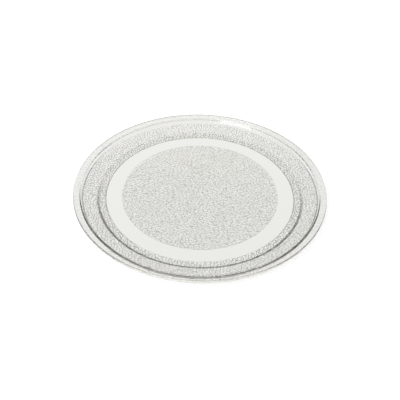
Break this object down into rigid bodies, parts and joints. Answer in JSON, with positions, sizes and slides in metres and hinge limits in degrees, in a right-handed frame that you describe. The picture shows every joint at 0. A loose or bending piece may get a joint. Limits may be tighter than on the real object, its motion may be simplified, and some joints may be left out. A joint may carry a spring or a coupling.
{
  "type": "microwave turntable plate",
  "caption": "Round clear-glass microwave turntable plate: flat stippled base on a foot ring with a smooth roller track, a shallow flange, and a raised flat rim with a rounded edge.",
  "frame": {"origin": "centre of the circle on which the foot ring stands, at the lowest point of the plate", "axes": "+Z along the plate's axis of revolution, up out of the food surface; +X and +Y are any two directions square to it"},
  "size_m": [0.245, 0.245, 0.012],
  "materials": {
    "clear_glass": "clear pressed glass, fire-polished above and on the roller track, moulded stipple on the rest of the underside"
  },
  "bodies": {
    "root": {"turntable_plate": "clear_glass"}
  },
  "joints": []
}
